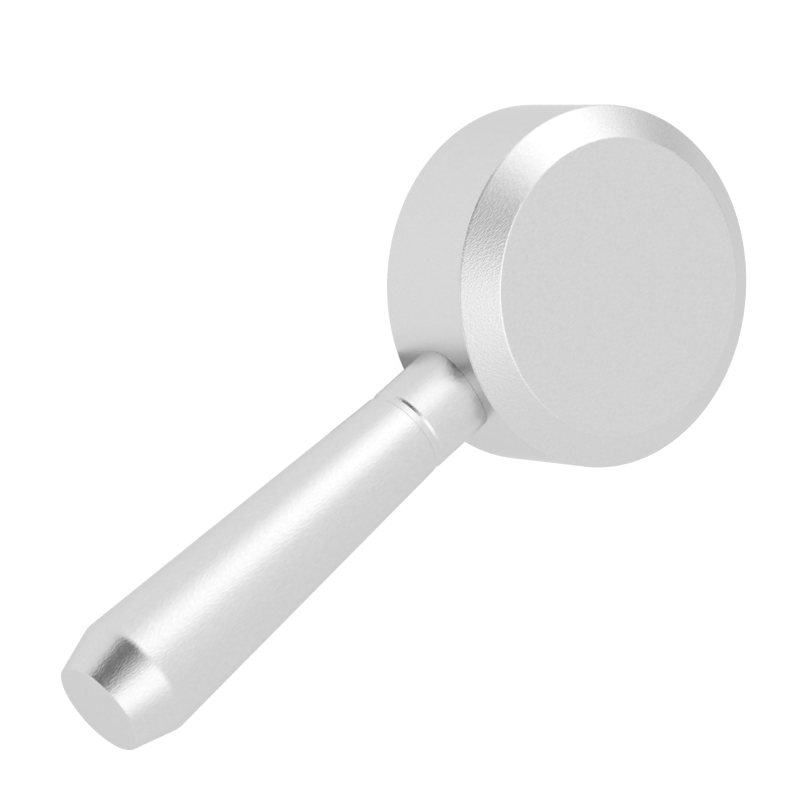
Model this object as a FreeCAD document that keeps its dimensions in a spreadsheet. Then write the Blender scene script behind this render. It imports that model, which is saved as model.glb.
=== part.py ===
"""Dead-blow hand mallet: an aluminium drum head with two screwed-in faces, on a tapered grip.

Frame: the origin is the centre of the rear face, on which the mallet lies. +Z runs along the
drum's axis to the front face, and +X runs along the handle to its end. Millimetres.
"""
import FreeCAD, Part
import math
import os
import Sketcher

V = FreeCAD.Vector
doc = FreeCAD.newDocument("HandMallet")
sheet = doc.addObject("Spreadsheet::Sheet", "Sizes")

DRIVING_SIZES = [
    # drum head
    ("head_radius", 38.0),
    ("wall_width", 26.0),
    ("bevel_rise", 4.9),
    ("bevel_run", 6.8),
    ("web_width", 15.0),
    ("edge_break", 0.15),
    # screwed-in faces
    ("pilot_radius", 34.0),
    ("pilot_length", 1.3),
    ("face_thread_radius", 33.0),
    ("thread_depth", 0.6),
    ("recess_depth", 4.0),
    ("face_seal_section", 0.75),
    ("pad_thickness", 1.5),
    # shot chamber
    ("chamber_radius", 24.0),
    ("sleeve_wall", 1.0),
    ("ball_radius", 3.0),
    # neck and joint ring
    ("neck_radius", 9.8),
    ("neck_length", 13.4),
    ("neck_chamfer", 0.25),
    ("ring_width", 1.5),
    ("ring_radius", 9.62),
    ("spigot_radius", 6.5),
    ("spigot_depth", 3.0),
    ("dowel_radius", 1.0),
    ("dowel_length", 10.0),
    ("dowel_offset", 7.6),
    # grip and end cap
    ("grip_front_radius", 9.82),
    ("grip_rear_radius", 13.5),
    ("grip_length", 78.9),
    ("cavity_radius", 8.9),
    ("cavity_depth", 32.0),
    ("cap_length", 10.0),
    ("cap_end_radius", 10.5),
    ("cap_edge_round", 0.9),
    ("cap_thread_radius", 10.0),
    ("cap_thread_length", 8.0),
    ("cap_recess_radius", 6.0),
    ("cap_recess_depth", 10.0),
    ("cap_seal_section", 0.55),
    # tie rod and its hardware
    ("rod_radius", 4.0),
    ("rod_chamfer", 0.6),
    ("rod_past_nut", 2.4),
    ("washer_radius", 8.0),
    ("washer_thickness", 1.6),
    ("spring_radius", 7.2),
    ("spring_thickness", 2.0),
    ("spring_gap_angle", 14.0),
    ("nut_flats", 13.0),
    ("nut_height", 6.5),
    ("cross_pin_radius", 1.25),
    ("cross_pin_wall", 0.5),
    # clearances
    ("fit_gap", 0.05),
    ("slip_gap", 0.3),
    ("end_gap", 0.2),
]
for row, (name, size) in enumerate(DRIVING_SIZES, start=1):
    sheet.set("A%d" % row, name)
    sheet.set("B%d" % row, str(size))
    sheet.setAlias("B%d" % row, name)
doc.recompute()


def bound(text):
    """A formula in the sheet's aliases, with each alias given its sheet's name."""
    for name, _ in sorted(DRIVING_SIZES, key=lambda pair: -len(pair[0])):
        text = text.replace("<" + name + ">", "Sizes." + name)
    return text


def value(text):
    """The number that a formula in the sheet's aliases comes to."""
    return float(sheet.evalExpression(bound(text)))


# Places that several pieces share, each a formula in the driving sizes.
COUNTERBORE = "((<wall_width> - <web_width>) / 2)"
FACE_SPIGOT = "(" + COUNTERBORE + " - <end_gap>)"
RECESS_RADIUS = "(<chamber_radius> + <slip_gap>)"
FACE_THREAD_ROOT = "(<face_thread_radius> - <thread_depth>)"
FACE_SEAL_RADIUS = "((" + RECESS_RADIUS + " + " + FACE_THREAD_ROOT + ") / 2)"
SEAL_GROOVE = "(2 * <face_seal_section> - <end_gap> + 2 * <fit_gap>)"
SEAL_HALF_GROOVE = "(<face_seal_section> + <fit_gap>)"
MID_HEIGHT = "(<bevel_rise> + <wall_width> / 2)"
HALF_CHAMBER = "(<web_width> / 2 + <end_gap> + <recess_depth> - <pad_thickness>)"
ROD_BORE = "(<rod_radius> + <slip_gap>)"
NECK_END = "(<head_radius> + <neck_length>)"
GRIP_START = "(" + NECK_END + " + <ring_width>)"
GRIP_END = "(" + GRIP_START + " + <grip_length>)"
NUT_SEAT = "(" + GRIP_END + " - <cavity_depth>)"
SPRING_SEAT = "(" + NUT_SEAT + " + <washer_thickness>)"
NUT_START = "(" + SPRING_SEAT + " + <spring_thickness>)"
ROD_START = "(<chamber_radius> + <slip_gap>)"
ROD_END = "(" + NUT_START + " + <nut_height> + <rod_past_nut>)"
CROSS_PIN_X = "((" + FACE_SEAL_RADIUS + " + " + SEAL_HALF_GROOVE + " + <face_thread_radius>) / 2)"
CAP_SEAL_RADIUS = "((<cap_thread_radius> + <grip_rear_radius>) / 2)"
CAP_GROOVE = "(2 * <cap_seal_section> + <fit_gap>)"
CAP_HALF_GROOVE = "(<cap_seal_section> + <fit_gap>)"


def bind(thing, prop, text):
    thing.setExpression(prop, bound(text))


def origin_feature(body, role):
    return next(part for part in body.Origin.OriginFeatures if part.Role == role)


def new_body(label, x="0", z="0", rotation=None):
    """An empty body, placed along the handle by x and along the drum's axis by z."""
    body = doc.addObject("PartDesign::Body", label)
    body.Label = label
    body.Placement = FreeCAD.Placement(V(value(x), 0, value(z)), rotation or FreeCAD.Rotation())
    bind(body, "Placement.Base.x", x)
    bind(body, "Placement.Base.z", z)
    return body


def new_sketch(body, role, offset="0"):
    """A sketch on one of the body's own origin planes, shifted along that plane's normal."""
    sketch = body.newObject("Sketcher::SketchObject", body.Name + "Sketch")
    sketch.AttachmentSupport = [(origin_feature(body, role), "")]
    sketch.MapMode = "FlatFace"
    sketch.AttachmentOffset = FreeCAD.Placement(V(0, 0, value(offset)), FreeCAD.Rotation())
    bind(sketch, "AttachmentOffset.Base.z", offset)
    return sketch


def place_point(sketch, line, end, across, up):
    """Ties a sketch point to the sketch's axes or to sizes measured from the origin."""
    for kind, axis, text in (("DistanceX", -2, across), ("DistanceY", -1, up)):
        if text == "0":
            sketch.addConstraint(Sketcher.Constraint("PointOnObject", line, end, axis))
        else:
            size = Sketcher.Constraint(kind, -1, 1, line, end, value(text))
            bind(sketch, "Constraints[%d]" % sketch.addConstraint(size), text)


def draw_outline(sketch, corners):
    """A closed outline of straight lines through (across, up) corners given as formulas."""
    points = [V(value(across), value(up), 0) for across, up in corners]
    lines = []
    for start, end in zip(points, points[1:] + points[:1]):
        lines.append(sketch.addGeometry(Part.LineSegment(start, end), False))
    for this, following in zip(lines, lines[1:] + lines[:1]):
        sketch.addConstraint(Sketcher.Constraint("Coincident", this, 2, following, 1))
    for line, (across, up) in zip(lines, corners):
        place_point(sketch, line, 1, across, up)


def turn(body, axis, corners, angle="360"):
    """A lathe-turned body: its outline spun about the sketch's V_Axis (Z) or H_Axis (X)."""
    sketch = new_sketch(body, "XZ_Plane")
    draw_outline(sketch, corners)
    spun = body.newObject("PartDesign::Revolution", body.Name + "Turning")
    spun.Profile = sketch
    spun.ReferenceAxis = (sketch, [axis])
    spun.Angle = value(angle)
    bind(spun, "Angle", angle)
    doc.recompute()
    return body


def drill(body, role, holes, length, offset="0", both_ways=False):
    """Round holes, each (across, up, radius), cut along the plane's normal."""
    before = body.Shape.Volume
    sketch = new_sketch(body, role, offset)
    for across, up, radius in holes:
        centre = V(value(across), value(up), 0)
        circle = sketch.addGeometry(Part.Circle(centre, V(0, 0, 1), value(radius)), False)
        place_point(sketch, circle, 3, across, up)
        size = Sketcher.Constraint("Radius", circle, value(radius))
        bind(sketch, "Constraints[%d]" % sketch.addConstraint(size), radius)
    pocket = body.newObject("PartDesign::Pocket", body.Name + "Holes")
    pocket.Profile = sketch
    pocket.Length = value(length)
    bind(pocket, "Length", length)
    pocket.Reversed = True
    if both_ways:
        pocket.SideType = "Symmetric"
    doc.recompute()
    if body.Shape.Volume > before - 1e-3:
        raise RuntimeError("a hole in %s cuts nothing" % body.Label)


def round_rim(body, axis, place, radius, size):
    """Rounds the rim that lies at a place along an axis and has a given radius."""
    solid = body.Tip
    rims = []
    for number, edge in enumerate(body.Shape.Edges, start=1):
        circle = edge.Curve
        if not isinstance(circle, Part.Circle) or abs(circle.Radius - value(radius)) > 1e-4:
            continue
        centre = body.Placement.inverse().multVec(circle.Center)
        if abs(centre.dot(axis) - value(place)) < 1e-4:
            rims.append("Edge%d" % number)
    fillet = body.newObject("PartDesign::Fillet", body.Name + "Rounding")
    fillet.Base = (solid, rims)
    fillet.Radius = value(size)
    bind(fillet, "Radius", size)
    doc.recompute()


def round_bar(label, radius, height, x="0", y="0", z="0", rotation=None):
    """A Part cylinder whose foot is at (x, y, z)."""
    bar = doc.addObject("Part::Cylinder", label)
    bar.Label = label
    bar.Placement = FreeCAD.Placement(V(value(x), value(y), value(z)),
                                      rotation or FreeCAD.Rotation())
    for prop, text in (("Radius", radius), ("Height", height), ("Placement.Base.x", x),
                       ("Placement.Base.y", y), ("Placement.Base.z", z)):
        bind(bar, prop, text)
    return bar


def o_ring(label, radius, section, x="0", z="0", rotation=None):
    ring = doc.addObject("Part::Torus", label)
    ring.Label = label
    ring.Placement = FreeCAD.Placement(V(value(x), 0, value(z)), rotation or FreeCAD.Rotation())
    for prop, text in (("Radius1", radius), ("Radius2", section),
                       ("Placement.Base.x", x), ("Placement.Base.z", z)):
        bind(ring, prop, text)
    return ring


TURNED_OVER = FreeCAD.Rotation(V(1, 0, 0), 180)
ALONG_HANDLE = FreeCAD.Rotation(V(0, 1, 0), 90)


def make_head_ring():
    """The drum's wall: counterbored and threaded at both ends, with a thick web between."""
    body = new_body("head_ring", z="<bevel_rise>")
    pilot_depth = "(<pilot_length> + <end_gap>)"
    bore = "(<chamber_radius> + <fit_gap>)"
    far = "<wall_width>"
    turn(body, "V_Axis", [
        ("<pilot_radius>", "0"),
        ("<head_radius> - <edge_break>", "0"),
        ("<head_radius>", "<edge_break>"),
        ("<head_radius>", far + " - <edge_break>"),
        ("<head_radius> - <edge_break>", far),
        ("<pilot_radius>", far),
        ("<pilot_radius>", far + " - " + pilot_depth),
        ("<face_thread_radius>", far + " - " + pilot_depth),
        ("<face_thread_radius>", far + " - " + COUNTERBORE),
        (bore, far + " - " + COUNTERBORE),
        (bore, COUNTERBORE),
        ("<face_thread_radius>", COUNTERBORE),
        ("<face_thread_radius>", pilot_depth),
        ("<pilot_radius>", pilot_depth),
    ])
    middle = far + " / 2"
    drill(body, "YZ_Plane", [("0", middle, "<rod_radius>")], "<head_radius> + 1")
    drill(body, "YZ_Plane", [
        ("<dowel_offset>", middle, "<dowel_radius>"),
        ("-<dowel_offset>", middle, "<dowel_radius>"),
    ], "<dowel_length>", offset="<head_radius> - <dowel_length> / 2 - 1")
    drill(body, "XY_Plane", [(CROSS_PIN_X, "0", "<cross_pin_radius> + <fit_gap>")], far)
    return body


def make_face(label, z, rotation=None):
    """A face: bevelled disc, pilot, threaded spigot, seal groove and a recess for its pad."""
    body = new_body(label, z=z, rotation=rotation)
    pilot = "<pilot_radius> - <fit_gap>"
    shoulder = FACE_SPIGOT + " - <pilot_length>"
    return turn(body, "V_Axis", [
        ("0", "<recess_depth>"),
        (RECESS_RADIUS, "<recess_depth>"),
        (RECESS_RADIUS, "0"),
        (FACE_SEAL_RADIUS + " - " + SEAL_HALF_GROOVE, "0"),
        (FACE_SEAL_RADIUS + " - " + SEAL_HALF_GROOVE, SEAL_GROOVE),
        (FACE_SEAL_RADIUS + " + " + SEAL_HALF_GROOVE, SEAL_GROOVE),
        (FACE_SEAL_RADIUS + " + " + SEAL_HALF_GROOVE, "0"),
        (FACE_THREAD_ROOT, "0"),
        (FACE_THREAD_ROOT, shoulder),
        (pilot, shoulder),
        (pilot, FACE_SPIGOT),
        ("<head_radius> - <edge_break>", FACE_SPIGOT),
        ("<head_radius>", FACE_SPIGOT + " + <edge_break>"),
        ("<head_radius> - <bevel_run>", FACE_SPIGOT + " + <bevel_rise>"),
        ("0", FACE_SPIGOT + " + <bevel_rise>"),
    ])


def make_chamber_sleeve():
    """A steel liner in the web's bore, which keeps the shot out of the rod's tapped hole."""
    half = "(" + HALF_CHAMBER + " - <end_gap>)"
    body = new_body("chamber_sleeve", z=MID_HEIGHT + " - " + half)
    inner = "<chamber_radius> - <sleeve_wall>"
    return turn(body, "V_Axis", [
        (inner, "0"),
        ("<chamber_radius>", "0"),
        ("<chamber_radius>", "2 * " + half),
        (inner, "2 * " + half),
    ])


def make_steel_shot():
    """Loose steel balls, two close-packed layers, lying on the lower pad."""
    radius = value("<ball_radius>")
    spacing = 2 * radius + value("<fit_gap>")
    reach = value("<chamber_radius> - <sleeve_wall> - <fit_gap>") - radius
    row_step = spacing * math.sqrt(3) / 2
    layer_step = spacing * math.sqrt(2.0 / 3.0)
    rows = int(reach / row_step) + 2
    balls = []
    for layer in range(2):
        shift_x, shift_y = layer * spacing / 2, layer * row_step / 3
        for row in range(-rows, rows + 1):
            for column in range(-rows, rows + 1):
                x = (column + (row % 2) / 2.0) * spacing + shift_x
                y = row * row_step + shift_y
                if math.hypot(x, y) <= reach:
                    balls.append(Part.makeSphere(radius, V(x, y, radius + layer * layer_step)))
    shot = doc.addObject("Part::Feature", "steel_shot")
    shot.Label = "steel_shot"
    shot.Shape = Part.makeCompound(balls)
    floor = value(MID_HEIGHT + " - " + HALF_CHAMBER + " + <fit_gap>")
    shot.Placement = FreeCAD.Placement(V(0, 0, floor), FreeCAD.Rotation())
    travel = 2 * value(HALF_CHAMBER + " - <fit_gap>") - 2 * radius - layer_step
    print("shot: %d balls, free travel %.2f mm" % (len(balls), travel))
    return shot


def make_neck_collar():
    """The neck: a plain collar, saddle-cut to sit on the drum's wall."""
    body = new_body("neck_collar", z=MID_HEIGHT)
    start = "<head_radius> - <neck_radius>"
    step = NECK_END + " - <spigot_depth>"
    turn(body, "H_Axis", [
        (start, ROD_BORE),
        (step, ROD_BORE),
        (step, "<spigot_radius>"),
        (NECK_END, "<spigot_radius>"),
        (NECK_END, "<neck_radius> - <neck_chamfer>"),
        (NECK_END + " - <neck_chamfer>", "<neck_radius>"),
        (start, "<neck_radius>"),
    ])
    drill(body, "XY_Plane", [("0", "0", "<head_radius>")], "4 * <neck_radius>", both_ways=True)
    drill(body, "YZ_Plane", [
        ("<dowel_offset>", "0", "<dowel_radius>"),
        ("-<dowel_offset>", "0", "<dowel_radius>"),
    ], "<head_radius> + <dowel_length> / 2 - 1 + <end_gap>")
    return body


def make_joint_ring():
    """The ring between neck and grip; its sleeve enters both and keeps them in line."""
    body = new_body("joint_ring", z=MID_HEIGHT)
    sleeve = "<spigot_radius> - <fit_gap>"
    low = NECK_END + " - <spigot_depth> + <end_gap>"
    high = GRIP_START + " + <spigot_depth> - <end_gap>"
    return turn(body, "H_Axis", [
        (low, ROD_BORE),
        (high, ROD_BORE),
        (high, sleeve),
        (GRIP_START, sleeve),
        (GRIP_START, "<ring_radius>"),
        (NECK_END, "<ring_radius>"),
        (NECK_END, sleeve),
        (low, sleeve),
    ])


def make_grip():
    """The tapered grip: bored for the tie rod, with a cavity and a thread at its end."""
    body = new_body("grip", z=MID_HEIGHT)
    step = GRIP_START + " + <spigot_depth>"
    thread = GRIP_END + " - <cap_thread_length> - <end_gap>"
    return turn(body, "H_Axis", [
        (GRIP_START, "<spigot_radius>"),
        (step, "<spigot_radius>"),
        (step, ROD_BORE),
        (NUT_SEAT, ROD_BORE),
        (NUT_SEAT, "<cavity_radius>"),
        (thread, "<cavity_radius>"),
        (thread, "<cap_thread_radius>"),
        (GRIP_END, "<cap_thread_radius>"),
        (GRIP_END, "<grip_rear_radius> - <edge_break>"),
        (GRIP_END + " - <edge_break>", "<grip_rear_radius>"),
        (GRIP_START + " + <edge_break>", "<grip_front_radius>"),
        (GRIP_START, "<grip_front_radius> - <edge_break>"),
    ])


def make_end_cap():
    """The conical end cap, screwed into the grip, with a seal groove under its shoulder."""
    body = new_body("end_cap", x=GRIP_END + " - <cap_thread_length>", z=MID_HEIGHT)
    shoulder = "<cap_thread_length>"
    end = "<cap_thread_length> + <cap_length>"
    root = "<cap_thread_radius> - <thread_depth>"
    groove = shoulder + " + " + CAP_GROOVE
    turn(body, "H_Axis", [
        ("0", "<cap_recess_radius>"),
        ("<cap_recess_depth>", "<cap_recess_radius>"),
        ("<cap_recess_depth>", "0"),
        (end, "0"),
        (end, "<cap_end_radius>"),
        (shoulder + " + <edge_break>", "<grip_rear_radius>"),
        (shoulder, "<grip_rear_radius> - <edge_break>"),
        (shoulder, CAP_SEAL_RADIUS + " + " + CAP_HALF_GROOVE),
        (groove, CAP_SEAL_RADIUS + " + " + CAP_HALF_GROOVE),
        (groove, CAP_SEAL_RADIUS + " - " + CAP_HALF_GROOVE),
        (shoulder, CAP_SEAL_RADIUS + " - " + CAP_HALF_GROOVE),
        (shoulder, root),
        ("0", root),
    ])
    round_rim(body, V(1, 0, 0), end, "<cap_end_radius>", "<cap_edge_round>")
    return body


def make_tie_rod():
    """The steel rod that draws grip, ring and neck onto the drum; cross-drilled for its pin."""
    body = new_body("tie_rod", z=MID_HEIGHT)
    shaft = "<rod_radius> - <fit_gap>"
    turn(body, "H_Axis", [
        (ROD_START, "0"),
        (ROD_END, "0"),
        (ROD_END, shaft + " - <rod_chamfer>"),
        (ROD_END + " - <rod_chamfer>", shaft),
        (ROD_START + " + <rod_chamfer>", shaft),
        (ROD_START, shaft + " - <rod_chamfer>"),
    ])
    hole = (CROSS_PIN_X, "0", "<cross_pin_radius> + <fit_gap>")
    drill(body, "XY_Plane", [hole], "4 * <rod_radius>", both_ways=True)
    return body


def make_cross_pin():
    """A rolled spring pin through the web and the tie rod: a slit tube."""
    length = "(<web_width> - 2 * <end_gap>)"
    body = new_body("cross_pin", x=CROSS_PIN_X, z=MID_HEIGHT + " - " + length + " / 2")
    inner = "<cross_pin_radius> - <cross_pin_wall>"
    return turn(body, "V_Axis", [
        (inner, "0"),
        ("<cross_pin_radius>", "0"),
        ("<cross_pin_radius>", length),
        (inner, length),
    ], angle="330")


def make_dowel_pins():
    """Two dowels between drum and neck, which stop the neck turning."""
    foot = "<head_radius> - <dowel_length> / 2 - 1 + <end_gap>"
    pins = []
    for side in ("-", ""):
        pins.append(round_bar("Dowel%d" % len(pins), "<dowel_radius> - <fit_gap>",
                              "<dowel_length> - <end_gap>", foot,
                              side + "<dowel_offset>", MID_HEIGHT, ALONG_HANDLE))
    pair = doc.addObject("Part::Compound", "dowel_pins")
    pair.Label = "dowel_pins"
    pair.Links = pins
    return pair


def make_washer(label, start, radius, thickness, angle="360"):
    """A washer on the tie rod; a spring washer is the same ring with a gap."""
    body = new_body(label, z=MID_HEIGHT)
    bore = "<rod_radius> + <fit_gap>"
    return turn(body, "H_Axis", [
        (start, bore),
        (start + " + " + thickness, bore),
        (start + " + " + thickness, radius),
        (start, radius),
    ], angle=angle)


def make_grip_nut():
    """The hexagon nut that tightens the tie rod."""
    bar = doc.addObject("Part::Prism", "NutBar")
    bar.Polygon = 6
    bar.Placement = FreeCAD.Placement(V(value(NUT_START), 0, value(MID_HEIGHT)), ALONG_HANDLE)
    for prop, text in (("Circumradius", "<nut_flats> / sqrt(3)"), ("Height", "<nut_height>"),
                       ("Placement.Base.x", NUT_START), ("Placement.Base.z", MID_HEIGHT)):
        bind(bar, prop, text)
    hole = round_bar("NutHole", "<rod_radius>", "<nut_height> + 2", NUT_START + " - 1", "0",
                     MID_HEIGHT, ALONG_HANDLE)
    nut = doc.addObject("Part::Cut", "grip_nut")
    nut.Label = "grip_nut"
    nut.Base = bar
    nut.Tool = hole
    return nut


FRONT_SEAT = "(<bevel_rise> + <wall_width>)"
SPLIT = "360 - <spring_gap_angle>"
PIECES = [
    make_head_ring(),
    make_chamber_sleeve(),
    make_face("front_face", FRONT_SEAT + " - " + FACE_SPIGOT),
    make_face("rear_face", "<bevel_rise> + " + FACE_SPIGOT, TURNED_OVER),
    round_bar("front_pad", RECESS_RADIUS + " - <fit_gap>", "<pad_thickness>",
              z=MID_HEIGHT + " + " + HALF_CHAMBER),
    round_bar("rear_pad", RECESS_RADIUS + " - <fit_gap>", "<pad_thickness>",
              z=MID_HEIGHT + " - " + HALF_CHAMBER + " - <pad_thickness>"),
    o_ring("front_seal", FACE_SEAL_RADIUS, "<face_seal_section>",
           z=FRONT_SEAT + " - " + COUNTERBORE + " + <face_seal_section> + <fit_gap>"),
    o_ring("rear_seal", FACE_SEAL_RADIUS, "<face_seal_section>",
           z="<bevel_rise> + " + COUNTERBORE + " - <face_seal_section> - <fit_gap>"),
    make_steel_shot(),
    make_neck_collar(),
    make_dowel_pins(),
    make_joint_ring(),
    make_grip(),
    make_tie_rod(),
    make_cross_pin(),
    make_washer("thrust_washer", NUT_SEAT, "<washer_radius>", "<washer_thickness>"),
    make_washer("spring_washer", SPRING_SEAT, "<spring_radius>", "<spring_thickness>", SPLIT),
    make_grip_nut(),
    make_end_cap(),
    o_ring("end_cap_seal", CAP_SEAL_RADIUS, "<cap_seal_section>",
           x=GRIP_END + " + <cap_seal_section> + <fit_gap> / 2", z=MID_HEIGHT,
           rotation=ALONG_HANDLE),
]
doc.recompute()

for thing in doc.Objects:
    if "Invalid" in thing.State or "Error" in thing.State:
        raise RuntimeError("%s failed: %s" % (thing.Label, thing.State))
for piece in PIECES:
    if piece.Shape.isNull() or not piece.Shape.isValid() or not piece.Shape.Solids:
        raise RuntimeError("%s has no valid solid" % piece.Label)

os.makedirs("parts", exist_ok=True)
for piece in PIECES:
    piece.Shape.exportStep(os.path.join("parts", piece.Label + ".step"))
    box = piece.Shape.BoundBox
    print("%-16s %8.1f mm3  x %.2f..%.2f  z %.2f..%.2f" % (
        piece.Label, piece.Shape.Volume, box.XMin, box.XMax, box.ZMin, box.ZMax))
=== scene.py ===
"""Dead-blow hand mallet: a satin aluminium drum head with two screwed-in faces, on a tapered grip."""
import math

import bmesh
import bpy
from mathutils import Matrix, Vector


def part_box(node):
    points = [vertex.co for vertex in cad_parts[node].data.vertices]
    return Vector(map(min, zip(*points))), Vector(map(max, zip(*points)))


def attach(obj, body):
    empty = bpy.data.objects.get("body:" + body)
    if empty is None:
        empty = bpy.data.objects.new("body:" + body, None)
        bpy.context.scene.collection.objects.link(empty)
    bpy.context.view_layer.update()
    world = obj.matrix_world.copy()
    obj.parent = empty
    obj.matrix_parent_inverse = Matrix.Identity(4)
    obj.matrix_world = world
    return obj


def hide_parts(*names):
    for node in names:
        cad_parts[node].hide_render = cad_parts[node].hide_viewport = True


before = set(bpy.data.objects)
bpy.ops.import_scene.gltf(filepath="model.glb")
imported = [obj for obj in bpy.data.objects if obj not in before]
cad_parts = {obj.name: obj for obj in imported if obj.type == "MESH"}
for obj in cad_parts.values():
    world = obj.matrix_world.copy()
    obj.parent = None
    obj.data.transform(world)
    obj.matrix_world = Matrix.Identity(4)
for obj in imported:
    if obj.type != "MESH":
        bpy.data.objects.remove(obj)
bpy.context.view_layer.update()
scene = bpy.context.scene


# --- Camera ------------------------------------------------------------------------------
# A long lens well above the front face, rolled so that the handle runs down to the left.
camera_place = Vector((0.414946, -0.334747, 0.714955))
camera_target = Vector((0.048894, -0.006289, 0.017928))
camera_roll = math.radians(95.76)
camera_data = bpy.data.cameras.new("camera")
camera_data.sensor_width = 36.0
camera_data.lens = 186.13
camera_data.clip_start = 0.05
camera = bpy.data.objects.new("camera", camera_data)
level_view = (camera_place - camera_target).to_track_quat("Z", "Y").to_matrix().to_4x4()
camera.matrix_world = (Matrix.Translation(camera_place) @ level_view
                       @ Matrix.Rotation(camera_roll, 4, "Z"))
scene.collection.objects.link(camera)
scene.camera = camera


# --- Floor and light ---------------------------------------------------------------------
# A white floor in a white room, with two flat cards on it that only the metal sees. Soft pools
# of brighter light stand beside and above the mallet, and dark gaps between them draw the
# shading on the metal.
def direction(azimuth, elevation):
    """The unit vector towards a place on the room's wall, from angles in degrees."""
    turn, lift = math.radians(azimuth), math.radians(elevation)
    return Vector((math.cos(turn) * math.cos(lift), math.sin(turn) * math.cos(lift),
                   math.sin(lift)))


def add_pool(total, azimuth, elevation, core, edge, gain):
    """Adds a round pool of light, or a dark gap, to the room's strength in one direction."""
    nodes, links = room.nodes, room.links
    nearness = nodes.new("ShaderNodeVectorMath")
    nearness.operation = "DOT_PRODUCT"
    nearness.inputs[1].default_value = direction(azimuth, elevation)
    links.new(ray.outputs["Generated"], nearness.inputs[0])
    falloff = nodes.new("ShaderNodeMapRange")
    falloff.interpolation_type = "SMOOTHSTEP"
    falloff.inputs["From Min"].default_value = math.cos(math.radians(edge))
    falloff.inputs["From Max"].default_value = math.cos(math.radians(core))
    falloff.inputs["To Max"].default_value = gain
    links.new(nearness.outputs["Value"], falloff.inputs["Value"])
    added = nodes.new("ShaderNodeMath")
    links.new(falloff.outputs["Result"], added.inputs[0])
    if isinstance(total, float):
        added.inputs[1].default_value = total
    else:
        links.new(total, added.inputs[1])
    return added.outputs["Value"]


world = bpy.data.worlds.new("white_room")
scene.world = world
world.use_nodes = True
room = world.node_tree
ray = room.nodes.new("ShaderNodeTexCoord")
strength = 1.0
pools = (
    (-138, 27, 4, 37, 0.75),      # large softbox beside the grip
    (-118, -11, 2, 22, 0.32),     # and its glow low down
    (-12, 78, 9, 38, 0.62),       # softbox overhead
    (-78, 23, 8, 21, -0.72),      # wide dark gap in front of the grip
    (-95, 24, 5, 14, -0.60),      # its side next to the softbox
    (-59, 27, 6, 17, -0.85),      # its other side
    (-82, -2, 6, 21, -1.08),      # its foot, down to the floor
    (-76, 50, 4, 18, -0.38),      # its top
    (166, -3, 8, 27, -0.53),      # grey wall beyond the drum
)
for azimuth, elevation, core, edge, gain in pools:
    strength = add_pool(strength, azimuth, elevation, core, edge, gain)
floor_of_strength = room.nodes.new("ShaderNodeMath")
floor_of_strength.operation = "MAXIMUM"
floor_of_strength.inputs[1].default_value = 0.0
room.links.new(strength, floor_of_strength.inputs[0])
room.nodes["Background"].inputs["Color"].default_value = (1.0, 1.0, 1.0, 1.0)
room.links.new(floor_of_strength.outputs["Value"], room.nodes["Background"].inputs["Strength"])


def add_studio_sheet(name, shell, colour, glow):
    """A flat matt sheet that belongs to the studio and not to the mallet."""
    mesh = bpy.data.meshes.new(name)
    shell.to_mesh(mesh)
    shell.free()
    sheet = bpy.data.objects.new(name, mesh)
    scene.collection.objects.link(sheet)
    material = bpy.data.materials.new(name)
    material.use_nodes = True
    surface = material.node_tree.nodes["Principled BSDF"]
    surface.inputs["Base Color"].default_value = (colour, colour, colour, 1.0)
    surface.inputs["Roughness"].default_value = 0.9
    surface.inputs["Specular IOR Level"].default_value = 0.0
    surface.inputs["Emission Color"].default_value = (1.0, 1.0, 1.0, 1.0)
    surface.inputs["Emission Strength"].default_value = glow
    mesh.materials.append(material)
    return sheet


floor_reach, floor_grey, floor_glow = 6.0, 0.08, 0.96
card_height, card_grey = 0.0003, 0.0
floor_shell = bmesh.new()
bmesh.ops.create_grid(floor_shell, x_segments=1, y_segments=1, size=floor_reach)
add_studio_sheet("white_floor", floor_shell, floor_grey, floor_glow)


def add_floor_card(name, corner, opposite, glow):
    """A card laid flat on the floor between two corners, which only the metal sees."""
    shell = bmesh.new()
    bmesh.ops.create_grid(shell, x_segments=1, y_segments=1, size=0.5)
    bmesh.ops.scale(shell, verts=shell.verts[:], vec=(opposite[0] - corner[0],
                                                      opposite[1] - corner[1], 1))
    bmesh.ops.translate(shell, verts=shell.verts[:], vec=(
        (corner[0] + opposite[0]) / 2, (corner[1] + opposite[1]) / 2, card_height))
    card = add_studio_sheet(name, shell, card_grey, glow)
    card.visible_camera = False
    card.visible_diffuse = False
    card.visible_shadow = False


# The first is a painted shadow: a dim card under the neck that stands in for the handle's shadow
# on the floor and darkens what faces it. The second lies along the near side of the mallet and
# lifts the undersides there.
# painted shadow under the neck, seen only in the metal's reflections
add_floor_card("painted_shadow_card", (0.032, -0.008), (0.058, 0.008), 0.36)
add_floor_card("bounce_card", (-0.25, -0.30), (0.25, -0.013), 1.07)
scene.view_settings.view_transform = "Standard"


# --- Head ring ---------------------------------------------------------------------------
# The drum's straight wall, turned from aluminium bar, bead-blasted and clear-anodised. Both
# ends are counterbored and threaded for the faces, and a thick web holds the handle's rod.
UP, HANDLE = (0, 0, 1), (1, 0, 0)
FINE, MEDIUM, COARSE = 240, 160, 64    # steps round a full turn
RIDGE_BASE, RIDGE_TIP = 0.38, 0.07     # half widths of a thread's ridge, in pitches


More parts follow.
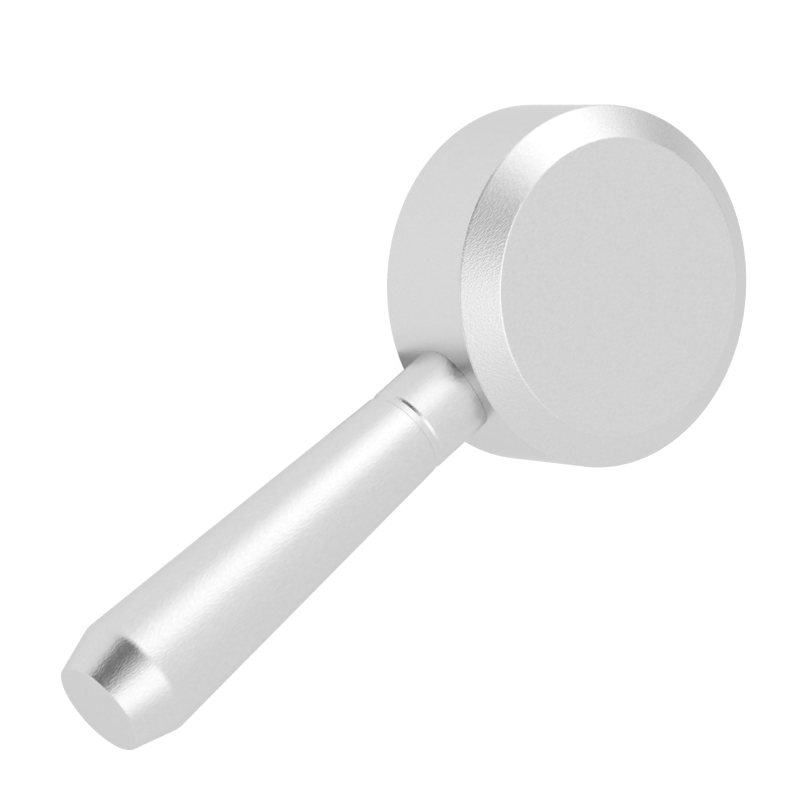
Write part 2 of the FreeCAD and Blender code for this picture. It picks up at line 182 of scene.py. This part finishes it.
def lathe(steps, axis, corners, close=True, sweep=2 * math.pi):
    """Spins an outline of (along, radius, rounding) corners about an axis, in a new bmesh."""
    shell = bmesh.new()
    along = Vector(axis)
    out = Vector((0, 0, 1)) if axis[0] else Vector((1, 0, 0))
    dots = [shell.verts.new(along * place + out * radius) for place, radius, _ in corners]
    ends = zip(dots, dots[1:] + dots[:1]) if close else zip(dots, dots[1:])
    for start, end in ends:
        shell.edges.new((start, end))
    for size in sorted({rounding for _, _, rounding in corners if rounding}):
        rounded = [dot for dot, corner in zip(dots, corners) if corner[2] == size]
        bmesh.ops.bevel(shell, geom=rounded, offset=size, offset_type="OFFSET", segments=5,
                        profile=0.5, affect="VERTICES", material=-1)
    full = sweep == 2 * math.pi
    bmesh.ops.spin(shell, geom=shell.verts[:] + shell.edges[:], cent=(0, 0, 0), axis=axis,
                   dvec=(0, 0, 0), angle=sweep, steps=steps, use_merge=full,
                   use_normal_flip=False, use_duplicate=False)
    bmesh.ops.remove_doubles(shell, verts=shell.verts[:], dist=1e-7)
    if not full:
        open_ends = [edge for edge in shell.edges if edge.is_boundary]
        bmesh.ops.holes_fill(shell, edges=open_ends, sides=0)
    bmesh.ops.recalc_face_normals(shell, faces=shell.faces[:])
    return shell


def add_thread(shell, axis, start, length, root, crest, pitch):
    """Adds a helical ridge on a spigot (crest outside root) or in a bore (crest inside)."""
    along = Vector(axis)
    out = Vector((0, 0, 1)) if axis[0] else Vector((1, 0, 0))
    half_base, half_tip = RIDGE_BASE * pitch, RIDGE_TIP * pitch
    first = start + half_base
    section = [(first - half_base, root), (first - half_tip, crest),
               (first + half_tip, crest), (first + half_base, root)]
    dots = [shell.verts.new(along * place + out * radius) for place, radius in section]
    sides = [shell.edges.new(pair) for pair in zip(dots, dots[1:] + dots[:1])]
    turns = (length - 2 * half_base) / pitch
    per_turn = 96
    steps = int(turns * per_turn)
    old_faces = set(shell.faces)
    bmesh.ops.spin(shell, geom=dots + sides, cent=(0, 0, 0), axis=axis,
                   dvec=along * (pitch / per_turn), angle=2 * math.pi * steps / per_turn,
                   steps=steps, use_merge=False, use_normal_flip=False, use_duplicate=False)
    open_ends = [edge for edge in shell.edges if edge.is_boundary]
    bmesh.ops.holes_fill(shell, edges=open_ends, sides=4)
    ridge = [face for face in shell.faces if face not in old_faces]
    bmesh.ops.recalc_face_normals(shell, faces=ridge)


def make_piece(name, shell, material, place=(0, 0, 0)):
    """Turns a bmesh into a smooth-shaded object at the origin, with its place in its mesh."""
    bmesh.ops.translate(shell, vec=place, verts=shell.verts[:])
    mesh = bpy.data.meshes.new(name)
    shell.to_mesh(mesh)
    shell.free()
    mesh.shade_smooth()
    mesh.materials.append(material)
    piece = bpy.data.objects.new(name, mesh)
    scene.collection.objects.link(piece)
    return piece


def cut_by(piece, tool_shell):
    """Cuts a piece with closed shells and keeps the result as the piece's own mesh."""
    tool_mesh = bpy.data.meshes.new("cutter")
    tool_shell.to_mesh(tool_mesh)
    tool_shell.free()
    cutter = bpy.data.objects.new("cutter", tool_mesh)
    scene.collection.objects.link(cutter)
    cut = piece.modifiers.new("cut", "BOOLEAN")
    cut.operation, cut.solver, cut.object = "DIFFERENCE", "EXACT", cutter
    view = bpy.context.evaluated_depsgraph_get()
    finished = bpy.data.meshes.new_from_object(piece.evaluated_get(view))
    piece.modifiers.remove(cut)
    finished.name = piece.name
    piece.data = finished
    bpy.data.objects.remove(cutter)


def thread(piece, axis, centre, start, length, root, crest, pitch):
    """Adds a thread to a finished piece, about an axis through a centre."""
    shell = bmesh.new()
    shell.from_mesh(piece.data)
    bmesh.ops.translate(shell, vec=-Vector(centre), verts=shell.verts[:])
    add_thread(shell, axis, start, length, root, crest, pitch)
    bmesh.ops.translate(shell, vec=centre, verts=shell.verts[:])
    shell.to_mesh(piece.data)
    shell.free()


def finish(piece, body, node, sharp=35):
    """Shades a piece's corners, sets it on its body and hides the CAD part that it stands for."""
    piece.data.set_sharp_from_angle(angle=math.radians(sharp))
    weighted = piece.modifiers.new("weighted_normals", "WEIGHTED_NORMAL")
    weighted.weight = 100
    weighted.keep_sharp = True
    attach(piece, body)
    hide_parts(node)


def rod(axis, start, end, radius, steps=COARSE):
    """A plain bar along an axis, as a closed bmesh, for drilling holes."""
    return lathe(steps, axis, [(start, 0, 0), (start, radius, 0), (end, radius, 0),
                               (end, 0, 0)], close=False)


def start_material(name, metallic, roughness):
    """A new Principled material with an Object-coordinate socket to build patterns on."""
    material = bpy.data.materials.new(name)
    material.use_nodes = True
    nodes = material.node_tree.nodes
    surface = nodes["Principled BSDF"]
    surface.inputs["Metallic"].default_value = metallic
    surface.inputs["Roughness"].default_value = roughness
    place = nodes.new("ShaderNodeTexCoord")
    return material, material.node_tree, surface, place.outputs["Object"]


def add_noise(tree, place, scale, detail, stretch=(1.0, 1.0, 1.0)):
    """Noise on a place socket, squeezed or stretched along the axes."""
    mapping = tree.nodes.new("ShaderNodeMapping")
    mapping.inputs["Scale"].default_value = stretch
    tree.links.new(place, mapping.inputs["Vector"])
    noise = tree.nodes.new("ShaderNodeTexNoise")
    noise.inputs["Scale"].default_value = scale
    noise.inputs["Detail"].default_value = detail
    tree.links.new(mapping.outputs["Vector"], noise.inputs["Vector"])
    return noise.outputs["Fac"]


def add_colour(tree, surface, factor, low, high):
    """Blends the surface's base colour between two tones as a factor rises."""
    blend = tree.nodes.new("ShaderNodeMix")
    blend.data_type = "RGBA"
    colours = [socket for socket in blend.inputs if socket.type == "RGBA"]
    colours[0].default_value = (*low, 1.0)
    colours[1].default_value = (*high, 1.0)
    steeper = add_range(tree, factor, 0.3, 0.7, 0.0, 1.0)
    tree.links.new(steeper, blend.inputs["Factor"])
    result = next(socket for socket in blend.outputs if socket.type == "RGBA")
    tree.links.new(result, surface.inputs["Base Color"])


def add_range(tree, factor, from_low, from_high, low, high):
    """Spreads a factor's range over another range, clamped at both ends."""
    spread = tree.nodes.new("ShaderNodeMapRange")
    spread.inputs["From Min"].default_value = from_low
    spread.inputs["From Max"].default_value = from_high
    spread.inputs["To Min"].default_value = low
    spread.inputs["To Max"].default_value = high
    tree.links.new(factor, spread.inputs["Value"])
    return spread.outputs["Result"]


def add_bump(tree, surface, height, strength, distance):
    """Raises fine relief on a surface as a height factor rises."""
    bump = tree.nodes.new("ShaderNodeBump")
    bump.inputs["Strength"].default_value = strength
    bump.inputs["Distance"].default_value = distance
    tree.links.new(height, bump.inputs["Height"])
    tree.links.new(bump.outputs["Normal"], surface.inputs["Normal"])


def make_satin_aluminium():
    """Bead-blasted anodised aluminium with a fine grain drawn along the handle."""
    material, tree, surface, place = start_material("satin_aluminium", 1.0, 0.3)
    surface.inputs["Specular Tint"].default_value = (0.81, 0.81, 0.81, 1.0)
    grain = add_noise(tree, place, 3600.0, 0.5, (0.25, 1.0, 1.0))
    add_colour(tree, surface, grain, (0.614, 0.614, 0.614), (0.656, 0.656, 0.656))
    roughness = add_range(tree, grain, 0.3, 0.7, 0.28, 0.32)
    tree.links.new(roughness, surface.inputs["Roughness"])
    add_bump(tree, surface, grain, 1.0, 0.000042)
    return material


satin_aluminium = make_satin_aluminium()
ring_low, ring_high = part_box("head_ring")
wall_foot, wall_top, head_radius = ring_low.z, ring_high.z, ring_high.x
counterbore = 0.0055
web_low, web_high = wall_foot + counterbore, wall_top - counterbore
neck_low, neck_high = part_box("neck_collar")
axis_height = (neck_low.z + neck_high.z) / 2
pilot_bore, pilot_depth, web_bore = 0.0340, 0.0015, 0.02405
thread_bore, thread_pitch, thread_height = 0.0330, 0.001, 0.00053
ring_edge, rim_edge, ring_thread_length = 0.00012, 0.0003, 0.0032
face_low, face_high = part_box("front_face")
rear_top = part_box("rear_face")[1].z
rod_low, rod_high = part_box("tie_rod")
rod_radius = rod_high.z - axis_height
pin_low, pin_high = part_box("cross_pin")
pin_radius, pin_x = (pin_high.x - pin_low.x) / 2, (pin_high.x + pin_low.x) / 2
dowel_low, dowel_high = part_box("dowel_pins")
dowel_radius = (dowel_high.z - dowel_low.z) / 2
dowel_offset = dowel_high.y - dowel_radius
fit, dowel_room, drill_past = 0.00005, 0.0002, 0.001

ring_shell = lathe(FINE, UP, [
    (wall_foot, pilot_bore, ring_edge),
    (wall_foot, head_radius, rim_edge),
    (wall_top, head_radius, rim_edge),
    (wall_top, pilot_bore, ring_edge),
    (wall_top - pilot_depth, pilot_bore, 0),
    (wall_top - pilot_depth, thread_bore, ring_edge),
    (web_high, thread_bore, 0),
    (web_high, web_bore, ring_edge),
    (web_low, web_bore, ring_edge),
    (web_low, thread_bore, 0),
    (wall_foot + pilot_depth, thread_bore, ring_edge),
    (wall_foot + pilot_depth, pilot_bore, 0),
])
head_ring = make_piece("head_ring_wall", ring_shell, satin_aluminium)
rod_hole = rod(HANDLE, web_bore - 2 * drill_past, head_radius + drill_past,
               rod_radius + fit)
bmesh.ops.translate(rod_hole, vec=(0, 0, axis_height), verts=rod_hole.verts[:])
cut_by(head_ring, rod_hole)
pin_hole = rod(UP, web_low - drill_past, web_high + drill_past, pin_radius + fit)
bmesh.ops.translate(pin_hole, vec=(pin_x, 0, 0), verts=pin_hole.verts[:])
cut_by(head_ring, pin_hole)
for side in (-1, 1):
    dowel_hole = rod(HANDLE, dowel_low.x - dowel_room, head_radius + drill_past,
                     dowel_radius + fit)
    bmesh.ops.translate(dowel_hole, vec=(0, side * dowel_offset, axis_height),
                        verts=dowel_hole.verts[:])
    cut_by(head_ring, dowel_hole)
# Each thread in the ring stands half a pitch off its face's, so that the ridges interlock.
for ridge_start in (face_low.z + 0.5 * thread_pitch,
                    rear_top - (2 * RIDGE_BASE + 2.5) * thread_pitch):
    thread(head_ring, UP, (0, 0, 0), ridge_start, ring_thread_length, thread_bore + fit,
           thread_bore - thread_height, thread_pitch)
finish(head_ring, "head", "head_ring")


# --- Chamber sleeve ----------------------------------------------------------------------
# A thin steel liner pressed into the web's bore, which keeps the shot off the rod's end. It
# is turned, so fine tool marks run round it.
def make_turned_steel(name, low, high, marks):
    """Ground or turned steel: fine lines across its axis, under a film of oil."""
    material, tree, surface, place = start_material(name, 1.0, 0.25)
    cloud = add_noise(tree, place, 90.0, 3.0)
    add_colour(tree, surface, cloud, low, high)
    lines = add_noise(tree, place, 5200.0, 2.0, marks)
    roughness = add_range(tree, lines, 0.3, 0.7, 0.18, 0.34)
    tree.links.new(roughness, surface.inputs["Roughness"])
    add_bump(tree, surface, lines, 0.35, 0.00001)
    return material


STEEL_LOW, STEEL_HIGH = (0.54, 0.54, 0.55), (0.64, 0.64, 0.65)
upright_steel = make_turned_steel("bright_steel_upright", STEEL_LOW, STEEL_HIGH,
                                  (0.03, 0.03, 1.0))
sleeve_low, sleeve_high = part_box("chamber_sleeve")
sleeve_wall, sleeve_edge = 0.001, 0.0003
sleeve_shell = lathe(FINE, UP, [
    (sleeve_low.z, sleeve_high.x - sleeve_wall, sleeve_edge),
    (sleeve_low.z, sleeve_high.x, sleeve_edge),
    (sleeve_high.z, sleeve_high.x, sleeve_edge),
    (sleeve_high.z, sleeve_high.x - sleeve_wall, sleeve_edge),
])
sleeve = make_piece("chamber_sleeve_liner", sleeve_shell, upright_steel)
finish(sleeve, "head", "chamber_sleeve")


# --- Steel shot --------------------------------------------------------------------------
# Loose steel balls in two close-packed layers on the lower pad. They fly across the chamber
# at each blow and take the rebound out of it.
def make_shot_steel():
    """Smooth dark steel, scuffed by the other balls."""
    material, tree, surface, place = start_material("shot_steel", 1.0, 0.2)
    scuffs = add_noise(tree, place, 700.0, 5.0)
    add_colour(tree, surface, scuffs, (0.36, 0.36, 0.38), (0.50, 0.50, 0.51))
    roughness = add_range(tree, scuffs, 0.4, 0.65, 0.10, 0.32)
    tree.links.new(roughness, surface.inputs["Roughness"])
    return material


shot_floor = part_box("steel_shot")[0].z
ball_radius, ball_gap = 0.003, 0.00005
spacing = 2 * ball_radius + ball_gap
row_step, layer_step = spacing * math.sqrt(3) / 2, spacing * math.sqrt(2 / 3)
reach = sleeve_high.x - sleeve_wall - fit - ball_radius
rows = int(reach / row_step) + 2
ball_shell = bmesh.new()
bmesh.ops.create_icosphere(ball_shell, subdivisions=3, radius=ball_radius)
ball_points = len(ball_shell.verts)
ball_mesh = bpy.data.meshes.new("ball")
ball_shell.to_mesh(ball_mesh)
ball_shell.free()
shot_shell = bmesh.new()
for layer in range(2):
    for row in range(-rows, rows + 1):
        for column in range(-rows, rows + 1):
            x = (column + (row % 2) / 2 + layer / 2) * spacing
            y = (row + layer / 3) * row_step
            z = shot_floor + ball_radius + layer * layer_step
            if math.hypot(x, y) <= reach:
                shot_shell.from_mesh(ball_mesh)
                shot_shell.verts.ensure_lookup_table()
                bmesh.ops.translate(shot_shell, vec=(x, y, z),
                                    verts=shot_shell.verts[-ball_points:])
bpy.data.meshes.remove(ball_mesh)
shot = make_piece("steel_shot_balls", shot_shell, make_shot_steel())
finish(shot, "shot", "steel_shot")


# --- Faces and pads ----------------------------------------------------------------------
# Two bevelled aluminium discs, each turned in one piece with the spigot that screws it into
# the ring. A cast urethane disc lies in each spigot's recess and takes the shot's blows.
def make_urethane():
    """Amber cast urethane, dented by the balls."""
    material, tree, surface, place = start_material("urethane_pad", 0.0, 0.5)
    surface.inputs["Subsurface Weight"].default_value = 0.25
    surface.inputs["Subsurface Radius"].default_value = (0.004, 0.002, 0.001)
    surface.inputs["Subsurface Scale"].default_value = 0.5
    cloud = add_noise(tree, place, 150.0, 4.0)
    add_colour(tree, surface, cloud, (0.42, 0.20, 0.07), (0.60, 0.34, 0.15))
    dents = tree.nodes.new("ShaderNodeTexVoronoi")
    dents.feature = "SMOOTH_F1"
    dents.inputs["Scale"].default_value = 165.0
    tree.links.new(place, dents.inputs["Vector"])
    dent = add_range(tree, dents.outputs["Distance"], 0.0, 0.35, 0.0, 1.0)
    add_bump(tree, surface, dent, 0.5, 0.0002)
    return material


urethane = make_urethane()
bevel_run, bevel_edge = 0.0068, 0.00024
recess_radius, recess_depth = 0.0243, 0.004
seal_centre, seal_half_groove, seal_groove = 0.02835, 0.0008, 0.0014
pad_edge = 0.0003
thread_root, pilot_radius, pilot_length = 0.0324, 0.03395, 0.0013
face_thickness = face_high.z - face_low.z
spigot_length = wall_top - face_low.z


def make_face(name, body, seat, flip):
    """A face drawn from its spigot's end up, and turned over for the rear of the drum."""
    shell = lathe(FINE, UP, [
        (recess_depth, 0, 0),
        (recess_depth, recess_radius, 0),
        (0, recess_radius, ring_edge),
        (0, seal_centre - seal_half_groove, 0),
        (seal_groove, seal_centre - seal_half_groove, 0),
        (seal_groove, seal_centre + seal_half_groove, 0),
        (0, seal_centre + seal_half_groove, 0),
        (0, thread_root, ring_edge),
        (spigot_length - pilot_length, thread_root, 0),
        (spigot_length - pilot_length, pilot_radius, ring_edge),
        (spigot_length, pilot_radius, 0),
        (spigot_length, head_radius, rim_edge),
        (face_thickness, head_radius - bevel_run, bevel_edge),
        (face_thickness, 0, 0),
    ], close=False)
    add_thread(shell, UP, 0, spigot_length - pilot_length, thread_root - fit,
               thread_root + thread_height, thread_pitch)
    if flip:
        bmesh.ops.rotate(shell, cent=(0, 0, 0), verts=shell.verts[:],
                         matrix=Matrix.Rotation(math.pi, 3, "X"))
    face = make_piece(name + "_disc", shell, satin_aluminium, (0, 0, seat))
    finish(face, body, name, sharp=25)


def make_pad(name, body):
    """A plain disc that fills its CAD box."""
    low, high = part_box(name)
    shell = lathe(FINE, UP, [
        (low.z, 0, 0),
        (low.z, high.x, pad_edge),
        (high.z, high.x, pad_edge),
        (high.z, 0, 0),
    ], close=False)
    pad = make_piece(name + "_disc", shell, urethane)
    finish(pad, body, name)


make_face("front_face", "front_face", face_low.z, False)
make_face("rear_face", "rear_face", rear_top, True)
make_pad("front_pad", "front_face")
make_pad("rear_pad", "rear_face")


# --- Face seals --------------------------------------------------------------------------
# Nitrile rings in the grooves of the two spigots, with the flash line that the mould leaves.
# They keep the shot's oil in and grit out of the threads.
def make_rubber():
    """Matt black nitrile with a dusty bloom."""
    material, tree, surface, place = start_material("seal_rubber", 0.0, 0.55)
    bloom = add_noise(tree, place, 400.0, 5.0)
    add_colour(tree, surface, bloom, (0.012, 0.012, 0.013), (0.035, 0.035, 0.036))
    roughness = add_range(tree, bloom, 0.3, 0.7, 0.45, 0.65)
    tree.links.new(roughness, surface.inputs["Roughness"])
    add_bump(tree, surface, bloom, 0.3, 0.00003)
    return material


rubber = make_rubber()
ROUND_SIDES, FLASH_HEIGHT = 24, 1.03


def make_seal(node, body, axis, centre_radius, section):
    """A ring of round section, with a fine flash line on its widest circle."""
    low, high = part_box(node)
    middle = (low + high) / 2
    flash = section * FLASH_HEIGHT
    corners = []
    for side in range(ROUND_SIDES):
        turn = 2 * math.pi * side / ROUND_SIDES
        reach_out = flash if side in (0, ROUND_SIDES // 2) else section
        corners.append((section * math.sin(turn), centre_radius + reach_out * math.cos(turn), 0))
    seal = make_piece(node + "_ring", lathe(MEDIUM, axis, corners), rubber, middle)
    finish(seal, body, node, sharp=60)


face_seal_section = 0.00075
make_seal("front_seal", "front_seal", UP, seal_centre, face_seal_section)
make_seal("rear_seal", "rear_seal", UP, seal_centre, face_seal_section)


# --- Neck collar -------------------------------------------------------------------------
# A plain aluminium collar between the drum and the grip. Its end is cut as a saddle that sits
# on the drum's wall, and a slight cone leads from its other end down to the joint ring.
band_low, band_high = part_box("joint_ring")
band_radius = band_high.z - axis_height
neck_radius, neck_end = neck_high.z - axis_height, neck_high.x
neck_cone, neck_edge = 0.0006, 0.00015
rod_bore, spigot_bore, spigot_depth = 0.0043, 0.0065, 0.003
saddle_depth, saddle_gap = 0.008, 0.00003
collar_shell = lathe(MEDIUM, HANDLE, [
    (head_radius - saddle_depth, rod_bore, 0),
    (neck_end - spigot_depth, rod_bore, 0),
    (neck_end - spigot_depth, spigot_bore, 0),
    (neck_end, spigot_bore, 0),
    (neck_end, band_radius - fit, 0),
    (neck_end - neck_cone, neck_radius, neck_edge),
    (head_radius - saddle_depth, neck_radius, 0),
])
neck = make_piece("neck_collar_body", collar_shell, satin_aluminium, (0, 0, axis_height))
cut_by(neck, rod(UP, 0, 2 * axis_height, head_radius + saddle_gap, FINE))
for side in (-1, 1):
    dowel_hole = rod(HANDLE, head_radius - saddle_depth / 2, dowel_high.x + dowel_room,
                     dowel_radius + fit)
    bmesh.ops.translate(dowel_hole, vec=(0, side * dowel_offset, axis_height),
                        verts=dowel_hole.verts[:])
    cut_by(neck, dowel_hole)
finish(neck, "head", "neck_collar", sharp=25)


# --- Dowel pins --------------------------------------------------------------------------
# Two ground steel dowels between drum and neck, which stop the neck turning on the rod.
lengthwise_steel = make_turned_steel("bright_steel_lengthwise", STEEL_LOW, STEEL_HIGH,
                                     (1.0, 0.03, 0.03))
dowel_edge = 0.0003
dowel_shell = bmesh.new()
for side in (-1, 1):
    pin = lathe(COARSE, HANDLE, [
        (dowel_low.x, 0, 0),
        (dowel_low.x, dowel_radius, dowel_edge),
        (dowel_high.x, dowel_radius, dowel_edge),
        (dowel_high.x, 0, 0),
    ], close=False)
    bmesh.ops.translate(pin, vec=(0, side * dowel_offset, axis_height), verts=pin.verts[:])
    pin_mesh = bpy.data.meshes.new("dowel")
    pin.to_mesh(pin_mesh)
    pin.free()
    dowel_shell.from_mesh(pin_mesh)
    bpy.data.meshes.remove(pin_mesh)
dowels = make_piece("dowel_pins_pair", dowel_shell, lengthwise_steel)
finish(dowels, "head", "dowel_pins")


# --- Joint ring --------------------------------------------------------------------------
# The narrow ring that is clamped between neck and grip. Its sleeve enters both of them.
grip_low, grip_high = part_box("grip")
grip_start, grip_end = grip_low.x, grip_high.x
sleeve_radius = spigot_bore - fit
band_shell = lathe(MEDIUM, HANDLE, [
    (band_low.x, rod_bore, ring_edge),
    (band_high.x, rod_bore, ring_edge),
    (band_high.x, sleeve_radius, ring_edge),
    (grip_start, sleeve_radius, 0),
    (grip_start, band_radius, 0),
    (neck_end, band_radius, 0),
    (neck_end, sleeve_radius, 0),
    (band_low.x, sleeve_radius, ring_edge),
])
joint_ring = make_piece("joint_ring_band", band_shell, satin_aluminium, (0, 0, axis_height))
finish(joint_ring, "head", "joint_ring")


# --- Grip --------------------------------------------------------------------------------
# A tapered aluminium tube, bored for the tie rod, with a wider cavity and an internal thread
# at its thick end for the nut and the cap. One soft arc runs from its taper into the cap.
grip_radius, grip_front_radius = grip_high.z - axis_height, 0.00982
cap_low, cap_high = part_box("end_cap")
cap_end_radius, shoulder_round, shoulder_steps = 0.0105, 0.005, 4
nut_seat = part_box("thrust_washer")[0].x
cavity_radius, cap_bore, cap_pitch, cap_thread_height = 0.0089, 0.010, 0.0015, 0.0005
cap_room, seam_edge = 0.0002, 0.00025
cap_thread_start = cap_low.x - cap_room
taper = math.atan((grip_radius - grip_front_radius) / (grip_end - grip_start))
cone = math.atan((grip_radius - cap_end_radius) / (cap_high.x - grip_end))
normals = Vector((math.sin(cone) - math.sin(taper), math.cos(cone) + math.cos(taper)))
arc_centre = Vector((grip_end, grip_radius)) - normals * (
    shoulder_round / (1 + math.cos(taper + cone)))
seam_angle = math.asin((grip_end - arc_centre.x) / shoulder_round)


def shoulder(first, last, origin):
    """Corners on the arc between taper and cone, from one slope to another."""
    corners = []
    for step in range(shoulder_steps + 1):
        slope = first + (last - first) * step / shoulder_steps
        corners.append((arc_centre.x + shoulder_round * math.sin(slope) - origin,
                        arc_centre.y + shoulder_round * math.cos(slope), 0))
    return corners


grip_shell = lathe(MEDIUM, HANDLE, [
    (grip_start, spigot_bore, 0),
    (grip_start + spigot_depth, spigot_bore, 0),
    (grip_start + spigot_depth, rod_bore, 0),
    (nut_seat, rod_bore, 0),
    (nut_seat, cavity_radius, 0),
    (cap_thread_start, cavity_radius, 0),
    (cap_thread_start, cap_bore, 0),
    (grip_end, cap_bore, ring_edge),
    *shoulder(seam_angle, -taper, 0),
    (grip_start, grip_front_radius, seam_edge),
])
add_thread(grip_shell, HANDLE, cap_low.x + 0.5 * cap_pitch,
           grip_end - cap_low.x - 0.5 * cap_pitch, cap_bore + fit, cap_bore - cap_thread_height,
           cap_pitch)
grip = make_piece("grip_sleeve", grip_shell, satin_aluminium, (0, 0, axis_height))
finish(grip, "head", "grip")


# --- Tie rod -----------------------------------------------------------------------------
# The steel stud that draws grip, ring and neck onto the drum. One end is screwed into the web
# and held there by the cross pin, and the other end carries the nut.
rod_chamfer, rod_pitch, rod_thread_height = 0.0006, 0.00125, 0.0004
rod_root = rod_radius - rod_thread_height
rod_runout, nut_travel, pin_land, pin_drill = 0.0005, 0.002, 0.0014, 0.006
nut_low, nut_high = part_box("grip_nut")
web_thread_end, nut_thread_start = head_radius - rod_runout, nut_low.x - nut_travel
rod_shell = lathe(COARSE, HANDLE, [
    (rod_low.x, 0, 0),
    (rod_low.x, rod_root - rod_chamfer, 0),
    (rod_low.x + rod_chamfer, rod_root, 0),
    (web_thread_end, rod_root, 0),
    (web_thread_end + rod_thread_height, rod_radius, 0),
    (nut_thread_start - rod_thread_height, rod_radius, 0),
    (nut_thread_start, rod_root, 0),
    (rod_high.x - rod_chamfer, rod_root, 0),
    (rod_high.x, rod_root - rod_chamfer, 0),
    (rod_high.x, 0, 0),
], close=False)
tie_rod = make_piece("tie_rod_stud", rod_shell, lengthwise_steel, (0, 0, axis_height))
pin_hole = rod(UP, axis_height - pin_drill, axis_height + pin_drill, pin_radius + fit)
bmesh.ops.translate(pin_hole, vec=(pin_x, 0, 0), verts=pin_hole.verts[:])
cut_by(tie_rod, pin_hole)
for start, end in ((rod_low.x + rod_chamfer, pin_x - pin_land),
                   (pin_x + pin_land, web_thread_end),
                   (nut_thread_start, rod_high.x - rod_chamfer)):
    thread(tie_rod, HANDLE, (0, 0, axis_height), start, end - start, rod_root - fit, rod_radius,
           rod_pitch)
finish(tie_rod, "head", "tie_rod", sharp=30)


# --- Cross pin ---------------------------------------------------------------------------
# A rolled spring pin through the web and the tie rod: a slit steel tube with led-in ends.
pin_wall, pin_edge, pin_sweep = 0.0005, 0.0003, math.radians(330)
pin_bore = pin_radius - pin_wall
pin_shell = lathe(COARSE, UP, [
    (pin_low.z, pin_bore, 0),
    (pin_low.z, pin_radius, pin_edge),
    (pin_high.z, pin_radius, pin_edge),
    (pin_high.z, pin_bore, 0),
], sweep=pin_sweep)
cross_pin = make_piece("cross_pin_roll", pin_shell, upright_steel, (pin_x, 0, 0))
finish(cross_pin, "head", "cross_pin")


# --- Washers -----------------------------------------------------------------------------
# A flat washer on the cavity's floor and a split spring washer under the nut. Both are
# stamped, so one side's edges are rounded, and both are zinc plated.
def make_zinc_plate():
    """Bright zinc with the faint blue and yellow cast of its passivation."""
    material, tree, surface, place = start_material("zinc_plated_steel", 1.0, 0.3)
    film = add_noise(tree, place, 220.0, 4.0)
    add_colour(tree, surface, film, (0.58, 0.61, 0.70), (0.72, 0.71, 0.64))
    pits = add_noise(tree, place, 2600.0, 3.0)
    roughness = add_range(tree, pits, 0.3, 0.7, 0.22, 0.38)
    tree.links.new(roughness, surface.inputs["Roughness"])
    add_bump(tree, surface, pits, 0.3, 0.00001)
    return material


zinc_plate = make_zinc_plate()
washer_bore = rod_radius + 2 * fit


def make_washer(node, stamped_round, sweep=2 * math.pi):
    """A washer with one side's edges rounded, slit where its sweep is less than a turn."""
    low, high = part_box(node)
    radius = high.z - axis_height
    shell = lathe(COARSE, HANDLE, [
        (low.x, washer_bore, 0),
        (high.x, washer_bore, stamped_round),
        (high.x, radius, stamped_round),
        (low.x, radius, 0),
    ], sweep=sweep)
    washer = make_piece(node + "_stamping", shell, zinc_plate, (0, 0, axis_height))
    finish(washer, "head", node)


make_washer("thrust_washer", 0.0003)
make_washer("spring_washer", 0.0002, math.radians(346))


# --- Grip nut ----------------------------------------------------------------------------
# The zinc-plated hexagon nut that tightens the tie rod: a chamfered turned blank with six
# flats milled on it.
nut_flats, nut_face, nut_drop, nut_edge = 0.0130, 0.0062, 0.0008, 0.0002
nut_corner = nut_flats / math.sqrt(3)
nut_shell = lathe(COARSE, HANDLE, [
    (nut_low.x, rod_radius + fit, nut_edge),
    (nut_low.x, nut_face, 0),
    (nut_low.x + nut_drop, nut_corner, 0),
    (nut_high.x - nut_drop, nut_corner, 0),
    (nut_high.x, nut_face, 0),
    (nut_high.x, rod_radius + fit, nut_edge),
])
for flat in range(6):
    turn = math.radians(30 + 60 * flat)
    facing = Vector((0, math.sin(turn), math.cos(turn)))
    milled = bmesh.ops.bisect_plane(
        nut_shell, geom=nut_shell.verts[:] + nut_shell.edges[:] + nut_shell.faces[:],
        dist=1e-7, plane_co=facing * nut_flats / 2, plane_no=facing, clear_outer=True)
    rim = [part for part in milled["geom_cut"] if isinstance(part, bmesh.types.BMEdge)]
    bmesh.ops.contextual_create(nut_shell, geom=rim)
bmesh.ops.recalc_face_normals(nut_shell, faces=nut_shell.faces[:])
grip_nut = make_piece("grip_nut_hexagon", nut_shell, zinc_plate, (0, 0, axis_height))
finish(grip_nut, "head", "grip_nut", sharp=25)


# --- End cap -----------------------------------------------------------------------------
# A conical aluminium cap with a hollow threaded spigot. The edge of its flat end is lightly
# broken, and a rubber ring lies in the groove under its shoulder.
cap_round, cap_root, cap_recess, cap_recess_depth = 0.0004, 0.0094, 0.006, 0.010
cap_seal, cap_seal_section, cap_half_groove, cap_groove = 0.01175, 0.00055, 0.0006, 0.00115
cap_length, cap_spigot = cap_high.x - cap_low.x, grip_end - cap_low.x
cap_shell = lathe(MEDIUM, HANDLE, [
    (cap_recess_depth, 0, 0),
    (cap_recess_depth, cap_recess, 0),
    (0, cap_recess, ring_edge),
    (0, cap_root, ring_edge),
    (cap_spigot, cap_root, 0),
    (cap_spigot, cap_seal - cap_half_groove, 0),
    (cap_spigot + cap_groove, cap_seal - cap_half_groove, 0),
    (cap_spigot + cap_groove, cap_seal + cap_half_groove, 0),
    (cap_spigot, cap_seal + cap_half_groove, 0),
    *shoulder(seam_angle, cone, cap_low.x),
    (cap_length, cap_end_radius, cap_round),
    (cap_length, 0, 0),
], close=False)
add_thread(cap_shell, HANDLE, 0, cap_spigot, cap_root - fit, cap_root + cap_thread_height,
           cap_pitch)
end_cap = make_piece("end_cap_cone", cap_shell, satin_aluminium, (cap_low.x, 0, axis_height))
finish(end_cap, "end_cap", "end_cap")
make_seal("end_cap_seal", "end_seal", HANDLE, cap_seal, cap_seal_section)
